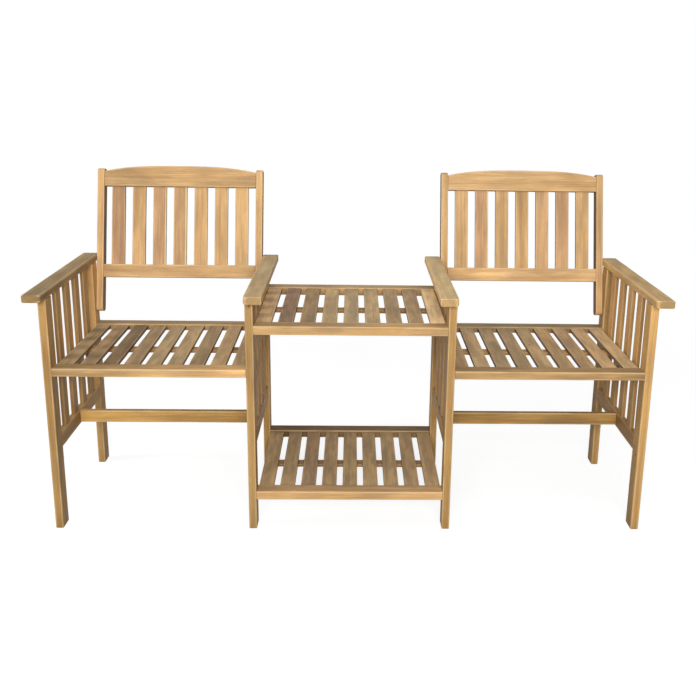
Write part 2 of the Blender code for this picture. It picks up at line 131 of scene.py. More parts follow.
# The same for single boards, and how much lightness grows along some of them
TONES |= {
    "left_back_post_outer": (1.3, -0.5, 0),
    "left_back_post_inner": (0.6, -0.1, 0),
    "right_back_bottom_rail": (0.9, 0.1, 0.1),
    "armrest_outer_left": (-1.8, 0.1, 0.4, 1),
    "armrest_inner_left": (1.5, 0.4, 1.2, -0.3),
    "armrest_inner_right": (3, 0, 1.2, -0.3),
    "armrest_outer_right": (0.7, 0, 0.1),
    # The legs' lightness grows towards their tops: painted shade, darker towards the floor. The raised lightness of the
    # outer right front leg and the outer left rear leg is partly painted light
    "leg_front_outer_left": (-0.6, 0, 0, 0.9),
    "leg_front_inner_left": (-1, 0.1, 0, 0.3),
    "leg_front_inner_right": (-0.8, 0.1, 0, 0.3),
    "leg_front_outer_right": (1.6, -0.2, 0, 1.8),
    "leg_rear_outer_left": (1.3, 0.3, 0, 2.3),
    "left_seat_front_rail": (0, -0.1, 0, 2.6),
    "left_seat_rear_rail": (-0.6, 0, 0.3),
    "right_seat_front_rail": (-1.5, -0.3, 0.1),
    # The right seat's rear rail is darkened: painted shade, standing for the dark line along its rear top edge
    "right_seat_rear_rail": (-1.8, 0, 1),
    "table_front_rail": (-0.5, 0.1, 0),
    "shelf_front_rail": (0.8, 0.3, 0),
    # The shelf's rear rail is darkened: painted shade from the table top above it
    "shelf_rear_rail": (-4, -0.2, 0.1),
    "left_stretcher": (-0.3, 0, 0),
    "right_stretcher": (-2, 0, 0),
}
TONE_SPREAD = (0.28, 0.30, 0.25)

# Back slats whose right edge is pale sapwood, and how wide it is as a share of the slat
SAPWOOD = {"left_back_slat_3": 0.10, "left_back_slat_4": 0.14, "right_back_slat_2": 0.08}

WOOD_COLOURS = ("pale", "tan", "rose", "late", "knot", "worn", "end", "grime", "olive", "blotch", "sap", "painted_gap_shade")


def amount(name, description, default, **kind):
    return FloatProperty(name=name, description=description, default=default, **kind)


def metres(name, description, default):
    return amount(name, description, default, unit="LENGTH", precision=4)


def rgb(name, description, default):
    return FloatVectorProperty(
        name=name, description=description, default=default, subtype="COLOR", size=3, min=0, max=2
    )


def wood_tint(part, whose, default):
    return rgb(f"{part} tint", f"Colour that the {whose} wood is multiplied by", default)


class BenchSizes(bpy.types.PropertyGroup):
    """Sizes of the boards that the boxes of the frame's nodes don't give."""
    gap: metres("Gap", "Gap between two boards that touch", 0.0003)
    rail_tenon: metres("Rail tenon", "Length of a rail's hidden tenon", 0.010)
    stretcher_tenon: metres("Stretcher tenon", "Length of a stretcher's hidden tenon", 0.008)
    slat_count: IntProperty(name="Slats", description="Slats of a seat, table top or shelf", default=9)
    slat_width: metres("Slat width", "Width of a slat of the seats, table top and shelf", 0.0395)
    slat_thickness: metres("Slat thickness", "Thickness of every slat", 0.010)
    batten_front: metres("Batten place", "From the legs' front to the batten's front", 0.2175)
    batten_width: metres("Batten width", "Width of the batten under the slats", 0.033)
    batten_inset: metres("Batten inset", "From the outermost slat's edge to the batten's end", 0.005)
    side_rail_height: metres("Side rail height", "Height of a lower side rail", 0.040)
    side_slat_count: IntProperty(name="Side slats", description="Slats of a side frame", default=4)
    side_slat_width: metres("Side slat width", "Width of a side slat", 0.0395)
    side_slat_inset: metres("Side slat inset", "From the seat side of a leg to its slats", 0.0035)
    lean: amount("Lean", "Lean of the backs", math.radians(16.7), unit="ROTATION")
    foot_set_back: metres("Post foot place", "From the legs' front to a post's foot", 0.446)
    foot_height: metres("Post foot height", "Height of a post's lower front corner", 0.4803)
    post_length: metres("Post length", "Length of a back post", 0.424)
    post_depth: metres("Post depth", "Depth of a back post", 0.033)
    post_width: metres("Post width", "Width of a back post from the front", 0.0205)
    back_rail_thickness: metres("Back rail thickness", "Thickness of both back rails", 0.020)
    bottom_rail_rise: metres("Bottom rail rise", "From the foot to the bottom rail", 0.1003)
    bottom_rail_height: metres("Bottom rail height", "Height of the bottom rail", 0.0382)
    top_rail_rise: metres("Top rail rise", "From the foot to the top rail", 0.3703)
    top_rail_end_height: metres("Top rail ends", "Height of the top rail at its ends", 0.0447)
    top_rail_middle_height: metres("Top rail middle", "Height of the top rail in its middle", 0.0613)
    back_slat_count: IntProperty(name="Back slats", description="Slats of a back", default=7)
    back_slat_width: metres("Back slat width", "Width of a back slat", 0.039)
    bolt_radius: metres("Bolt radius", "Radius of a bolt's shank", 0.003)
    bolt_head_height: metres("Bolt head", "Height of a bolt's head", 0.003)
    nut_inset: metres("Barrel nut place", "From a leg to the barrel nut below a rail", 0.030)


class BenchFinish(bpy.types.PropertyGroup):
    """How the boards are rounded and how their wood looks."""
    board_radius: metres("Board edges", "Radius of the long edges of rails, legs and posts", 0.0020)
    slat_radius: metres("Slat edges", "Radius of the long edges of slats", 0.0015)
    arm_radius: metres("Armrest edges", "Radius of the long edges of the armrests", 0.0032)
    arm_corner: metres("Armrest corners", "Radius of an armrest's corners, seen from above", 0.009)
    post_corner: metres("Post ends", "Radius of a post's ends, seen from the side", 0.012)
    joint_radius: metres("Joint edges", "Radius of ends that meet another board", 0.0005)
    free_radius: metres("Free ends", "Radius of ends that stand free", 0.0025)
    ring_width: metres("Ring width", "Width of a growth ring", 0.0065)
    bump: amount("Grain relief", "Strength of the grain's relief", 0.35, subtype="FACTOR")
    # The pale edges are partly wear and partly a painted highlight along the rounded edges
    wear: amount("Edge wear and highlight", "How pale the edges are worn and highlighted", 0.55, subtype="FACTOR")
    dust: amount("Dust", "Dust on faces that look up", 0.25, subtype="FACTOR")
    pale: rgb("Pale wood", "Light part of the grain", (0.640, 0.385, 0.165))
    tan: rgb("Tan wood", "Darker part of the grain", (0.500, 0.275, 0.105))
    rose: rgb("Rose wood", "Pinkish boards", (0.520, 0.270, 0.145))
    late: rgb("Ring lines", "Dark lines between growth rings", (0.330, 0.165, 0.062))
    knot: rgb("Knots", "Knots and their dark rims", (0.150, 0.062, 0.024))
    # Pale edge colour: partly rubbed wear, partly a painted highlight
    worn: rgb("Worn and highlighted edges", "Edges rubbed pale and painted highlights", (0.760, 0.530, 0.280))
    end: rgb("End grain", "Sawn ends of the boards", (0.270, 0.166, 0.066))
    grime: rgb("Dust colour", "Grey dust on the wood", (0.300, 0.225, 0.140))
    olive: rgb("Weathered wood", "Grey-green wood that has weathered", (0.360, 0.285, 0.160))
    blotch: rgb("Blotches", "Greyish pink patches in the wood", (0.450, 0.300, 0.185))
    sap: rgb("Sapwood", "Pale yellow outer wood", (0.820, 0.620, 0.270))
    # Painted shade: the dark colour that faces in the gaps between boards are darkened towards
    painted_gap_shade: rgb("Painted shade in gaps", "Dark brown painted shade on faces in the gaps between boards", (0.100, 0.048, 0.020))
    leg_tint: wood_tint("Leg", "legs'", (0.78, 0.77, 0.61))
    arm_tint: wood_tint("Armrest", "armrests'", (0.92, 0.97, 0.84))
    side_tint: wood_tint("Side", "side frames'", (0.90, 0.88, 0.72))
    rail_tint: wood_tint("Rail", "rails'", (0.97, 1.01, 0.98))
    stretcher_tint: wood_tint("Stretcher", "stretchers'", (0.90, 0.89, 0.62))
    slat_tint: wood_tint("Slat", "flat slats'", (0.93, 1.01, 1.10))
    back_tint: wood_tint("Back", "backs'", (0.92, 0.97, 1.02))
    steel: rgb("Steel", "Bolts, nuts and screws", (0.560, 0.550, 0.530))


class BenchStudio(bpy.types.PropertyGroup):
    """The white studio: its lamps, floor and camera."""
    key: amount("Key light", "Power of the large front lamp", 220.0, unit="POWER")
    left: amount("Left light", "Power of the lamp on the left", 55.0, unit="POWER")
    top: amount("Top light", "Power of the lamp above", 24.0, unit="POWER")
    rear: amount("Rear light", "Power of the lamp behind", 50.0, unit="POWER")
    ambient: amount("Ambient", "Brightness of the white room", 0.05)
    bounce: amount("Floor bounce", "How much light the floor throws back up", 0.25)
    floor_share: amount("Floor shadow", "Share of the floor's tone that shadows take", 0.14)
    floor_lift: amount("Floor tone", "Tone of the lit floor as the camera sees it", 1.9)
    pitch: amount("Pitch", "How far the camera looks down", math.radians(15.8534), unit="ROTATION")
    yaw: amount("Yaw", "How far the camera turns right", math.radians(1.6760), unit="ROTATION")
    roll: amount("Roll", "How far the camera rolls", math.radians(0.9172), unit="ROTATION")
    place: FloatVectorProperty(
        name="Camera place", description="Place of the camera", default=(0.0004, -2.5782, 1.1781), subtype="TRANSLATION"
    )
    lens: amount("Lens", "Focal length over frame width", 950.64 / FRAME_PIXELS)
    shift: FloatVectorProperty(
        name="Shift", description="Camera shift", size=2,
        default=((348 - 377.92) / FRAME_PIXELS, (339.51 - 348) / FRAME_PIXELS),
    )


# Meshes

def bow(distance, radius):
    """How far a round of that radius has drawn in, at a distance from the end: R - sqrt(R^2 - (R - d)^2)."""
    left = radius - np.clip(distance, 0, radius)
    return radius - np.sqrt(np.maximum(radius**2 - left**2, 0))


def stations(length, bends):
    """Places along a board: even, but closing up as R (1 - cos t) over each rounded end."""
    turn = 1 - np.cos(np.linspace(0, np.pi / 2, END_STEPS + 1))
    count = max(2, round(length / SPACING))
    middle = np.linspace(bends[0], length - bends[1], count + 1)[1:-1]
    return np.concatenate((bends[0] * turn, middle, length - bends[1] * turn[::-1]))


def carried_section(low, high, radius):
    """A rectangle with rounded corners at each station, as a grid of (station, ring) points.

    low and high hold the rectangle's two bounds at each station. On each corner the ring runs
    through (centre + r cos t, centre + r sin t), with one point more on the flat at either side.
    Gives the points across, and 1 on a corner's arc falling to 0 on the flats.
    """
    turn = np.linspace(0, np.pi / 2, CORNER_STEPS + 1)
    angle = np.repeat(np.arange(4) * np.pi / 2, CORNER_STEPS + 3) + np.tile(np.r_[0, turn, np.pi / 2], 4)
    step = np.tile(np.r_[-1, np.zeros(CORNER_STEPS + 1), 1], 4)
    side = np.repeat([[1, 1], [-1, 1], [-1, -1], [1, -1]], CORNER_STEPS + 3, axis=0)
    half = (high - low) / 2
    radius = np.minimum(radius, EDGE_LIMIT * half.min(axis=1, keepdims=True))
    across = np.stack((np.cos(angle), np.sin(angle)), axis=1) * radius[..., None]
    run = np.stack((-np.sin(angle), np.cos(angle)), axis=1) * step[:, None]
    flat = half[:, None, :] - radius[..., None]
    middle = (low + high)[:, None, :] / 2
    points = middle + side * flat + across + run * np.minimum(FLAT, 0.3 * flat)
    arc = np.where(step == 0, 1.0, 0.0)
    return points, np.broadcast_to(arc, points.shape[:2])


def grid_faces(rows, columns):
    """Quads between neighbouring rows of a grid whose columns close into rings, and its two end caps."""
    first = np.arange(columns)
    after = np.roll(first, -1)
    start = np.arange(rows - 1)[:, None] * columns
    quads = np.stack((start + first, start + after, start + columns + after, start + columns + first), axis=2)
    last = (rows - 1) * columns + first
    return quads.reshape(-1, 4), first[::-1], last


def new_mesh(name, points, quads, caps=(), **attributes):
    """Puts arrays into a mesh: points, quads, end caps, and values that each point carries."""
    mesh = bpy.data.meshes.new(name)
    mesh.from_pydata(points, [], quads.tolist() + [cap.tolist() for cap in caps])
    mesh.polygons.foreach_set("use_smooth", np.ones(len(mesh.polygons), bool))
    for label, values in attributes.items():
        layer = mesh.attributes.new(label, "FLOAT_VECTOR", "POINT")
        layer.data.foreach_set("vector", np.ascontiguousarray(values, np.float32).ravel())
    mesh.update()
    return mesh


def add_piece(name, mesh, material, nodes=()):
    """Makes a mesh a piece of the bench that rides on its body and stands for the frame's nodes."""
    piece = bpy.data.objects.new(name, mesh)
    bpy.data.collections["Bench"].objects.link(piece)
    mesh.materials.append(bpy.data.materials[material])
    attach(piece, "root")
    if nodes:
        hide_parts(*nodes)
    return piece


def add_board(
    board, low, high, axis, material, slot, node=None,
    radius=None, ends=None, corner=0, corner_sides=(1, 1), arch=None, place=None,
):
    """One board: a rounded section carried from end to end along an axis.

    At a distance d from an end both widths draw in by bow(d, end radius). The second one also
    draws in by bow(d, corner radius) on its chosen sides, which rounds the board's outline. arch,
    if given, is the height of the board's top at each share of its half length. place turns the
    finished board, which stands for the node, or else for the node of its own name.
    """
    name = f"{board}_board"
    finish = bpy.context.scene.bench_finish
    radius = finish.board_radius if radius is None else radius
    ends = (finish.joint_radius,) * 2 if ends is None else ends
    low, high = np.array(low, float), np.array(high, float)
    first, second = (axis + 1) % 3, (axis + 2) % 3
    length = high[axis] - low[axis]
    along = stations(length, np.maximum(ends, corner))
    draw = bow(along, ends[0]) + bow(length - along, ends[1])
    along = np.r_[0, along, length]
    draw = np.r_[ends[0] + RIM, draw, ends[1] + RIM]
    curve = bow(along, corner) + bow(length - along, corner)
    bounds_low = np.c_[low[first] + draw, low[second] + draw + curve * corner_sides[0]]
    bounds_high = np.c_[high[first] - draw, high[second] - draw - curve * corner_sides[1]]
    share = 2 * along / length - 1
    if arch:
        bounds_high[:, 1] = low[second] + arch(share) - draw

    # The random numbers are always the same for a name
    rng = np.random.default_rng(zlib.crc32(name.encode()))
    corners = np.repeat(np.arange(4), CORNER_STEPS + 3)
    phase = rng.uniform(0, 2 * np.pi, (2, 4))[:, corners]
    sway = np.sin(along[:, None] * 23 + phase[0]) + np.sin(along[:, None] * 61 + phase[1])
    soft = radius * (1 + 0.09 * sway)
    soft = np.maximum(soft - draw[:, None] * 0.5, 0.15 * radius)
    section, arc = carried_section(bounds_low, bounds_high, soft)

    rows, columns = arc.shape
    points = np.zeros((rows, columns, 3))
    points[..., axis] = low[axis] + along[:, None]
    points[..., first], points[..., second] = section[..., 0], section[..., 1]
    quads, first_cap, last_cap = grid_faces(rows, columns)

    middle = (low + high) / 2
    grain = np.stack([points[..., k] - middle[k] for k in (axis, first, second)], axis=2)
    distance, turn = rng.uniform(0.03, 0.11), rng.uniform(0, 2 * np.pi)
    grain = grain + np.r_[rng.uniform(0, 40), distance * np.cos(turn), distance * np.sin(turn)]
    rounding = np.where(np.arange(rows) < rows // 2, *ends)
    sawn = np.clip(draw / np.maximum(rounding, 1e-6), 0, 1)[:, None] + np.zeros(columns)
    across = (points[..., first] - low[first]) / (high[first] - low[first])
    sap = across / (1 - SAPWOOD[board]) if board in SAPWOOD else arc * 0
    surface = np.stack((arc * (1 - sawn * 0.5), sawn, sap), axis=2)
    light, rosy, grey, growth = (*TONES.get(board, rng.normal(0, TONE_SPREAD)), 0.0)[:4]
    tone = np.zeros(points.shape) + (light, rosy, grey)
    # Lightness changes along the board by growth; on the legs this is painted shade, darker towards the floor
    tone[..., 0] += growth * share[:, None]

    points = points.reshape(-1, 3)
    if place is not None:
        points = points @ np.array(place.to_3x3()).T + np.array(place.translation)
    mesh = new_mesh(
        name, points, quads, (first_cap, last_cap),
        grain=grain.reshape(-1, 3), finish=surface.reshape(-1, 3), tone=tone.reshape(-1, 3),
    )
    return add_piece(name, mesh, material, (node or board,))


def add_turned(name, profile, places, outward, material="Bolt steel", nodes=()):
    """Turned pieces, all along X or Z, at several places, as one mesh.

    A profile point (radius, height, six) sweeps the ring place + height h + radius (cos t, sin t).
    Where six is 1 the ring is a hexagon: its radius is times cos 30 / cos(t mod 60 - 30), in degrees.
    outward is the direction that heights count along.
    """
    around = np.linspace(0, 2 * np.pi, TURN_STEPS, endpoint=False)
    radius, height, six = np.array(profile, float).T
    hexagon = np.cos(np.pi / 6) / np.cos(np.mod(around, np.pi / 3) - np.pi / 6)
    reach = radius[:, None] * (1 + six[:, None] * (hexagon - 1))
    axis = np.array(outward, float)
    side = np.array((0.0, 1.0, 0.0))
    ring = reach[..., None] * (np.cos(around)[:, None] * side + np.sin(around)[:, None] * np.cross(axis, side))
    ring = ring + height[:, None, None] * axis
    points = np.array(places, float)[:, None, None, :] + ring
    quads, first_cap, last_cap = grid_faces(len(profile), TURN_STEPS)
    starts = np.arange(len(places)) * ring.shape[0] * TURN_STEPS
    quads = (quads[None] + starts[:, None, None]).reshape(-1, 4)
    caps = [cap + start for start in starts for cap in (first_cap, last_cap)]
    points = points.reshape(-1, 3)
    sawn = np.broadcast_to((0.0, 0.8, 0.0), points.shape)
    mesh = new_mesh(name, points, quads, caps, grain=points[:, [2, 0, 1]], finish=sawn, tone=points * 0)
    return add_piece(name, mesh, material, nodes)


def head_profile(radius, height, socket, depth, below):
    """Profile of a low round head with a hexagonal socket, after the points of what is below it."""
    crown = 0.3 * height
    return (
        *below, (radius - 0.0002, 0, 0), (radius, 0.0002, 0), (radius, height - crown, 0),
        (radius - 0.3 * crown, height - 0.3 * crown, 0), (radius - crown, height, 0),
        (socket + 0.0003, height, 0.5), (socket, height - 0.0003, 1), (socket, height - depth, 1),
        (CENTRE, height - depth, 1),
    )


def open_row(low, high, width, count):
    """Low edges of an even row with an equal gap at both ends."""
    gap = (high - low - count * width) / (count + 1)
    return low + gap + np.arange(count) * (width + gap)


# Shader nodes

def add_node(tree, kind, *sources, **settings):
    """Adds a node, sets its properties, and feeds its inputs in order from sockets or values."""
    item = tree.nodes.new("ShaderNode" + kind)
    for key, value in settings.items():
        setattr(item, key, value)
    for socket, source in zip(item.inputs, sources):
        feed(tree, socket, source)
    return item


def feed(tree, socket, source):
    if isinstance(source, bpy.types.NodeSocket):
        tree.links.new(source, socket)
    else:
        socket.default_value = source


def feed_named(tree, item, **sources):
    for label, source in sources.items():
        feed(tree, item.inputs[label], source)


def maths(tree, operation, *sources):
    return add_node(tree, "Math", *sources, operation=operation).outputs[0]


def times(tree, first, second):
    return maths(tree, "MULTIPLY", first, second)


def stretch(tree, vector, factors):
    return add_node(tree, "VectorMath", vector, factors, operation="MULTIPLY").outputs[0]


def parts(tree, vector):
    return add_node(tree, "SeparateXYZ", vector).outputs


def attribute(tree, name):
    return add_node(tree, "Attribute", attribute_name=name).outputs["Vector"]


def noise(tree, vector, factors, detail=2.0, rough=0.5):
    """Smooth noise of about 0 to 1 on a vector stretched by three factors per metre."""
    item = add_node(tree, "TexNoise")
    feed_named(tree, item, Vector=stretch(tree, vector, factors), Scale=1.0, Detail=detail, Roughness=rough)
    return item.outputs[0]


def between(tree, value, start, end, low=0.0, high=1.0):
    """Maps a value from start..end to low..high with a smooth step."""
    return add_node(tree, "MapRange", value, start, end, low, high, interpolation_type="SMOOTHSTEP").outputs[0]


def mix(tree, factor, first, second, blend="MIX"):
    item = add_node(tree, "Mix", data_type="RGBA", blend_type=blend)
    for label, source in ((0, factor), (6, first), (7, second)):
        feed(tree, item.inputs[label], source)
    return item.outputs[2]


def shade(tree, colour, level):
    """A colour multiplied by a level."""
    return mix(tree, 1.0, colour, add_node(tree, "CombineColor", level, level, level).outputs[0], "MULTIPLY")


def new_group(name, **inputs):
    """An empty node group with a place and float inputs, and what they give."""
    tree = bpy.data.node_groups.new(name, "ShaderNodeTree")
    tree.interface.new_socket("Place", in_out="INPUT", socket_type="NodeSocketVector")
    for label, default in inputs.items():
        socket = tree.interface.new_socket(label, in_out="INPUT", socket_type="NodeSocketFloat")
        socket.default_value = default
    return tree, tree.nodes.new("NodeGroupInput").outputs


def give(tree, **sources):
    """Ends a node group with float outputs that are fed from sockets."""
    for label in sources:
        tree.interface.new_socket(label, in_out="OUTPUT", socket_type="NodeSocketFloat")
    feed_named(tree, tree.nodes.new("NodeGroupOutput"), **sources)


def use_group(tree, name, **sources):
    item = tree.nodes.new("ShaderNodeGroup")
    item.node_tree = bpy.data.node_groups[name]
    feed_named(tree, item, **sources)
    return item.outputs


def new_shader(name):
    """A new material, its node tree and its Principled BSDF."""
    material = bpy.data.materials.new(name)
    material.use_nodes = True
    return material, material.node_tree, material.node_tree.nodes["Principled BSDF"]


def add_relief(tree, shader, height, strength, distance):
    relief = add_node(tree, "Bump")
    feed_named(tree, relief, Strength=strength, Distance=distance, Height=height)
    tree.links.new(relief.outputs[0], shader.inputs["Normal"])


def seen_directly(tree):
    """1 for rays that come from the camera, a reflection or a clear surface, and 0 for others."""
    path = add_node(tree, "LightPath").outputs
    passed_on = maths(tree, "MAXIMUM", path["Is Glossy Ray"], path["Is Transmission Ray"])
    return maths(tree, "MAXIMUM", path["Is Camera Ray"], passed_on)


def make_grain_group():
    """Solid wood: growth rings round a wandering pith, fibres, pores, knots and broad clouds."""
    tree, given = new_group("Wood grain", Ring_width=0.005)
    place = given["Place"]
    cells = add_node(tree, "TexVoronoi")
    feed_named(tree, cells, Vector=stretch(tree, place, (11, 22, 22)), Scale=1.0)
    rare = maths(tree, "GREATER_THAN", add_node(tree, "SeparateColor", cells.outputs["Color"]).outputs[0], 0.95)
    near = times(tree, between(tree, cells.outputs["Distance"], 0.34, 0.0), rare)
    core = times(tree, between(tree, cells.outputs["Distance"], 0.070, 0.045), rare)
    drift = noise(tree, place, (4.5, 14, 14))
    mottled = noise(tree, place, (10, 62, 62), detail=3, rough=0.55)

    _, across, up = parts(tree, place)
    wander = noise(tree, place, (1.3, 7.0, 7.0), detail=3)
    across = maths(tree, "ADD", across, times(tree, maths(tree, "SUBTRACT", wander, 0.5), 0.050))
    square = maths(tree, "ADD", times(tree, across, across), times(tree, up, up))
    radius = maths(tree, "ADD", maths(tree, "SQRT", square), times(tree, near, 0.012))
    phase = maths(tree, "DIVIDE", radius, given["Ring_width"])
    saw = maths(tree, "FRACT", phase)
    line = times(tree, between(tree, saw, 0.30, 0.90), between(tree, saw, 1.0, 0.93))
    strength = noise(tree, add_node(tree, "CombineXYZ", phase, 0.0, 0.0).outputs[0], (0.61, 1, 1), detail=1)
    rings = times(tree, line, between(tree, strength, 0.30, 0.70))

    long_fibre = noise(tree, place, (9, 520, 520), detail=3, rough=0.6)
    fine_fibre = noise(tree, place, (45, 1900, 1900))
    fibres = maths(tree, "ADD", times(tree, long_fibre, 0.65), times(tree, fine_fibre, 0.35))
    pores = between(tree, noise(tree, place, (120, 3200, 3200), detail=1), 0.60, 0.70)
    streak = noise(tree, place, (2.6, 75, 75), detail=3, rough=0.55)
    patch = noise(tree, place, (6, 22, 22))
    cloud = maths(tree, "ADD", times(tree, streak, 0.6), times(tree, patch, 0.4))
    ridge = maths(tree, "SUBTRACT", fibres, times(tree, pores, 0.6))
    give(
        tree, Rings=rings, Fibres=fibres, Pores=pores, Knots=core,
        Cloud=between(tree, cloud, 0.34, 0.66), Drift=between(tree, drift, 0.32, 0.68),
        Patch=between(tree, mottled, 0.35, 0.65), Height=maths(tree, "ADD", ridge, times(tree, rings, 0.25)),
    )


def make_wear_group():
    """Pale edges, partly rubbed wear and partly a painted highlight: the edge value of a board, broken up along its
    grain.
    """
    tree, given = new_group("Edge wear and highlight", Edge=0.0, Amount=0.5)
    broken = noise(tree, given["Place"], (14, 130, 130), detail=3)
    worn = times(tree, given["Edge"], between(tree, broken, 0.32, 0.62, 0.35, 1.0))
    give(tree, Wear=times(tree, worn, given["Amount"]))


def make_dust_group():
    """Dust that settles on faces which look up, in soft patches."""
    tree, given = new_group("Settled dust", Amount=0.3)
    up = parts(tree, add_node(tree, "NewGeometry").outputs["Normal"])[2]
    patches = between(tree, noise(tree, given["Place"], (9, 9, 9), detail=4, rough=0.6), 0.25, 0.75, 0.4, 1.0)
    fine = between(tree, noise(tree, given["Place"], (160, 160, 160)), 0.2, 0.8, 0.7, 1.0)
    settled = times(tree, between(tree, up, 0.55, 1.0), times(tree, patches, fine))
    give(tree, Dust=times(tree, settled, given["Amount"]))


def make_weather_group():
    """Grey-green weathering in soft blotches of two sizes, mostly on faces that look up."""
    tree, given = new_group("Weathering", Amount=0.0)
    broad = noise(tree, given["Place"], (8, 30, 30), detail=3)
    small = noise(tree, given["Place"], (70, 190, 190), detail=3, rough=0.6)
    broad, small = between(tree, broad, 0.30, 0.70, 0.35, 0.75), between(tree, small, 0.35, 0.70, 0.0, 0.25)
    up = parts(tree, add_node(tree, "NewGeometry").outputs["True Normal"])[2]
    cover = times(tree, maths(tree, "ADD", broad, small), between(tree, up, 0.2, 0.8, 0.3, 1.0))
    give(tree, Grey=times(tree, cover, maths(tree, "MAXIMUM", given["Amount"], 0.0)))


def make_wood(name, tint, weathering, mottle, ring_scale=1.0, gap_shade_share=(0.0, 0.0)):
    """Oiled hardwood: grain colours, sapwood, knots, weathering, pale edges that are partly wear and partly a painted
    highlight, end grain, dust and painted shade in the gaps.

    The last argument is how much painted shade darkens faces that look along X and along Y,
    those in the gaps between boards: a share of it . n^2 for a normal n.
    """
    finish = bpy.context.scene.bench_finish
    colour = {key: (*getattr(finish, key), 1.0) for key in WOOD_COLOURS}
    _, tree, shader = new_shader(name)
    place = attribute(tree, "grain")
    edge, sawn, sap = parts(tree, attribute(tree, "finish"))
    light, rosy, grey = parts(tree, attribute(tree, "tone"))
    grain = use_group(tree, "Wood grain", Place=place, Ring_width=finish.ring_width * ring_scale)
    wear = use_group(tree, "Edge wear and highlight", Place=place, Edge=edge, Amount=finish.wear)["Wear"]
    whole = add_node(tree, "TexCoord").outputs["Object"]
    dust = use_group(tree, "Settled dust", Place=whole, Amount=finish.dust)["Dust"]
    aged = maths(tree, "MULTIPLY_ADD", grey, 0.45, weathering)
    weathered = use_group(tree, "Weathering", Place=place, Amount=aged)["Grey"]

    base = mix(tree, grain["Cloud"], colour["pale"], colour["tan"])
    base = mix(tree, between(tree, rosy, 0.0, 1.0, 0.0, 0.85), base, colour["rose"])
    base = mix(tree, times(tree, grain["Rings"], 0.45), base, colour["late"])
    base = shade(tree, base, between(tree, grain["Fibres"], 0.30, 0.70, 1.17, 0.80))
    base = mix(tree, times(tree, grain["Pores"], 0.35), base, colour["late"])
    ragged = maths(tree, "MULTIPLY_ADD", noise(tree, place, (5, 60, 60), detail=3), 0.12, sap)
    base = mix(tree, between(tree, ragged, 1.04, 1.09), base, colour["sap"])
    base = mix(tree, 1.0, base, (*tint, 1.0), "MULTIPLY")
    base = mix(tree, times(tree, grain["Patch"], mottle), base, colour["blotch"])
    base = mix(tree, weathered, base, colour["olive"])
    level = maths(tree, "MULTIPLY_ADD", light, 0.16, between(tree, grain["Drift"], 0.0, 1.0, 0.88, 1.12))
    swing = 0.3 * mottle
    level = times(tree, level, between(tree, grain["Patch"], 0.0, 1.0, 1 + swing, 1 - swing))
    base = shade(tree, base, level)
    base = mix(tree, times(tree, grain["Knots"], 0.8), base, colour["knot"])
    # Pale edges: partly wear, partly a painted highlight along the rounded edges
    base = mix(tree, wear, base, colour["worn"])
    base = mix(tree, times(tree, sawn, 0.60), base, colour["end"])
    base = mix(tree, dust, base, colour["grime"])
    # Painted shade: faces that look along X or Y, those in the gaps between boards, are darkened towards a dark brown
    facing = add_node(tree, "NewGeometry").outputs["True Normal"]
    squared = stretch(tree, facing, facing)
    painted_shade_cover = add_node(tree, "VectorMath", squared, (*gap_shade_share, 0.0), operation="DOT_PRODUCT").outputs["Value"]
    base = mix(tree, painted_shade_cover, base, colour["painted_gap_shade"])

    rough = maths(tree, "ADD", between(tree, grain["Fibres"], 0.3, 0.7, 0.50, 0.62), times(tree, dust, 0.4))
    rough = maths(tree, "ADD", rough, times(tree, sawn, 0.18))
    feed_named(tree, shader, **{"Base Color": base, "Roughness": rough, "Specular IOR Level": 0.12})
    add_relief(tree, shader, grain["Height"], finish.bump, 0.0004)


def make_steel(name):
    """Zinc-plated steel: a mottled grey metal with fine turning marks."""
    finish = bpy.context.scene.bench_finish
    _, tree, shader = new_shader(name)
    whole = add_node(tree, "TexCoord").outputs["Object"]
    mottled = noise(tree, whole, (420, 420, 420), detail=4, rough=0.65)
    fine = noise(tree, whole, (2600, 2600, 2600))
    dull = [0.62 * part for part in finish.steel]
    colour = mix(tree, between(tree, mottled, 0.35, 0.7), (*finish.steel, 1.0), (*dull, 1.0))
    rough = between(tree, mottled, 0.3, 0.7, 0.28, 0.46)
    feed_named(tree, shader, **{"Base Color": colour, "Roughness": rough, "Metallic": 1.0})
    add_relief(tree, shader, fine, 0.15, 0.0002)


# Places that the frame gives

def leg_x(place):
    """The x of a side frame's seat-side face, and 1 or -1 for the way to the seat."""
    low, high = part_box(f"leg_front_{place}")
    toward = 1 if place in ("outer_left", "inner_right") else -1
    return (high.x if toward > 0 else low.x), toward


def legs_front():
    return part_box("leg_front_outer_left")[0].y


def below_armrest(place):
    """The height at which boards end below an armrest."""
    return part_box(f"armrest_{place}")[0].z - bpy.context.scene.bench_sizes.gap


def back_place():
    """Turns and moves a back drawn upright from the foot of its posts."""
    sizes = bpy.context.scene.bench_sizes
    foot = Vector((0, legs_front() + sizes.foot_set_back, sizes.foot_height))
    return Matrix.Translation(foot) @ Matrix.Rotation(-sizes.lean, 4, "X")


def slat_starts(level):
    """The low x of each slat of a seat, table top or shelf."""
    sizes = bpy.context.scene.bench_sizes
    low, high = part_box(f"{level}_slats")
    return np.linspace(low.x, high.x - sizes.slat_width, sizes.slat_count)


class BenchOperator:
    """What the bench's operators share: one step each, which can be undone."""
    bl_options = {"REGISTER", "UNDO"}


